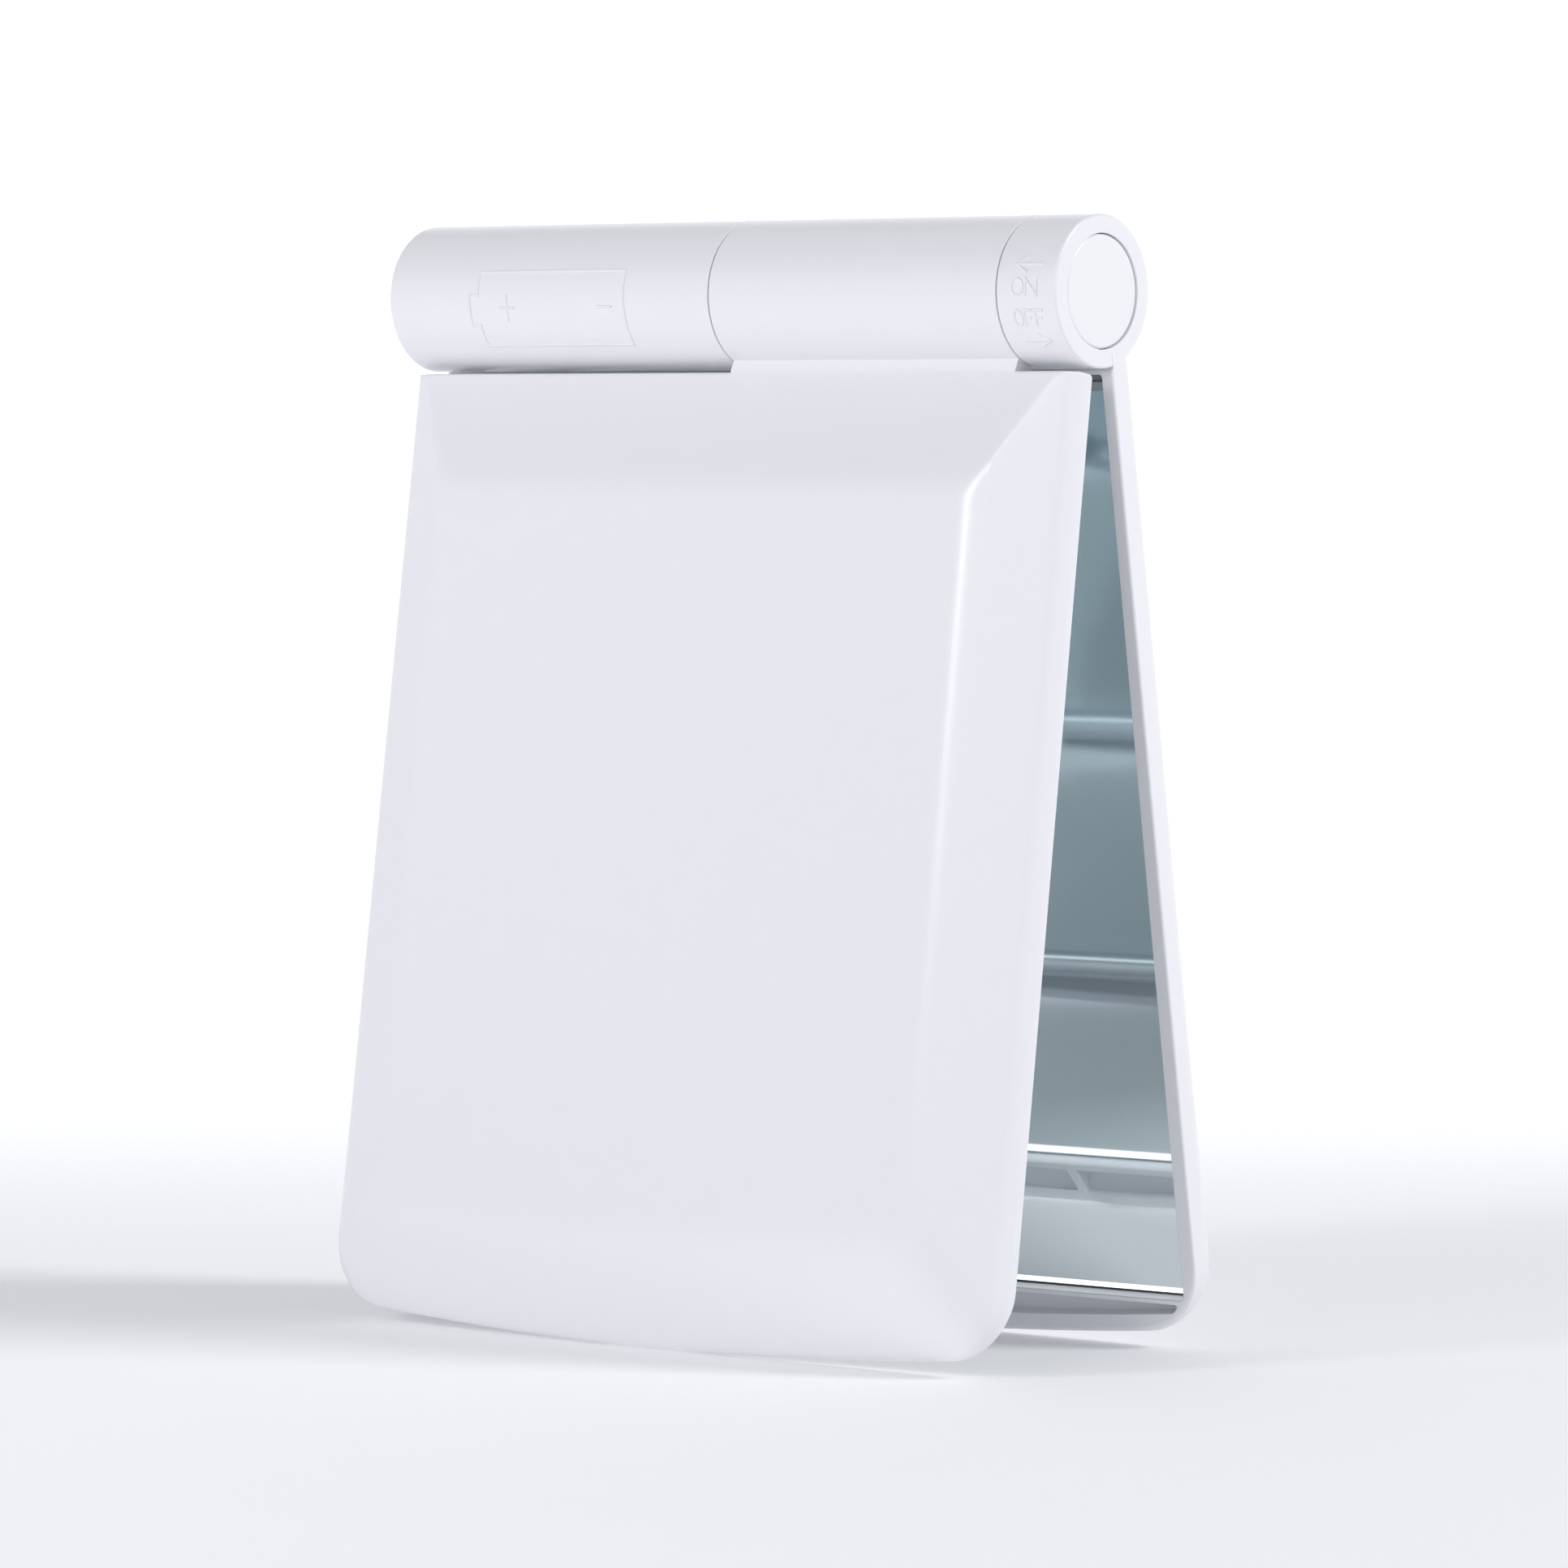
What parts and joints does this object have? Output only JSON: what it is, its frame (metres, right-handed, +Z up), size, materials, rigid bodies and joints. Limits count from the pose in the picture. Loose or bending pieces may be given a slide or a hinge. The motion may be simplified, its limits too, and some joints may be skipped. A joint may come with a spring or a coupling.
{
  "type": "folding lighted makeup mirror",
  "caption": "Pocket makeup mirror that folds on a barrel hinge, with a mirror in each half, light strips beside one of them, and a cell and push switch inside the barrel.",
  "frame": {"origin": "on the floor, midway between the two lower edges of the tent and in the middle of its width", "axes": "+X along the barrel to the button end, +Y from the front half to the back half, +Z up"},
  "size_m": [0.093, 0.0424, 0.1195],
  "materials": {
    "white_shell": "satin moulded white with a cool tint",
    "white_button": "satin moulded white",
    "mirror_glass": "silvered float glass with a ground lower edge",
    "mounting_tape": "foam tape",
    "lamp_board": "white board",
    "frosted_lens": "frosted translucent",
    "lamp": "phosphor in a white case",
    "resistor": "black chip",
    "flat_lead": "amber film",
    "lead_cover": "soft sleeve",
    "inner_plastic": "natural white",
    "brass_contact": "stamped",
    "cell_jacket": "plain printed jacket",
    "spring_steel": "plated wire",
    "switch_black": "moulded black"
  },
  "bodies": {
    "base": {"back_mirror": "mirror_glass", "back_shell": "white_shell", "back_tape_left": "mounting_tape", "back_tape_right": "mounting_tape", "battery_cell": "cell_jacket", "battery_spring": "spring_steel", "battery_tube": "inner_plastic", "contact_strip": "brass_contact", "hinge_leads": "lead_cover", "switch_block": "switch_black", "switch_housing": "inner_plastic", "switch_spring": "spring_steel"},
    "cover": {"board_link": "flat_lead", "front_mirror": "mirror_glass", "front_shell": "white_shell", "front_tape_left": "mounting_tape", "front_tape_right": "mounting_tape", "hinge_flex": "flat_lead", "led_board_left": "lamp_board", "led_board_right": "lamp_board", "led_left_1": "lamp", "led_left_2": "lamp", "led_left_3": "lamp", "led_left_4": "lamp", "led_right_1": "lamp", "led_right_2": "lamp", "led_right_3": "lamp", "led_right_4": "lamp", "light_lens_left": "frosted_lens", "light_lens_right": "frosted_lens", "resistor_left": "resistor", "resistor_right": "resistor"},
    "button": {"switch_button": "white_button", "switch_plunger": "inner_plastic"},
    "cap": {"battery_cap": "white_button", "cap_contact": "brass_contact"}
  },
  "joints": [
    {"name": "cover_hinge", "type": "hinge", "parent": "base", "child": "cover", "pos_m": [0, 0, 0.11148], "axis": [-1, 0, 0], "range_deg": [-16.48, 163.52]},
    {"name": "button_push", "type": "slide", "parent": "base", "child": "button", "axis": [-1, 0, 0], "range_m": [0, 0.002], "stiffness_N_per_m": 350, "springref_m": -0.0015, "deforming": ["switch_spring"]},
    {"name": "cap_pull", "type": "slide", "parent": "base", "child": "cap", "axis": [-1, 0, 0], "range_m": [0, 0.01]}
  ]
}
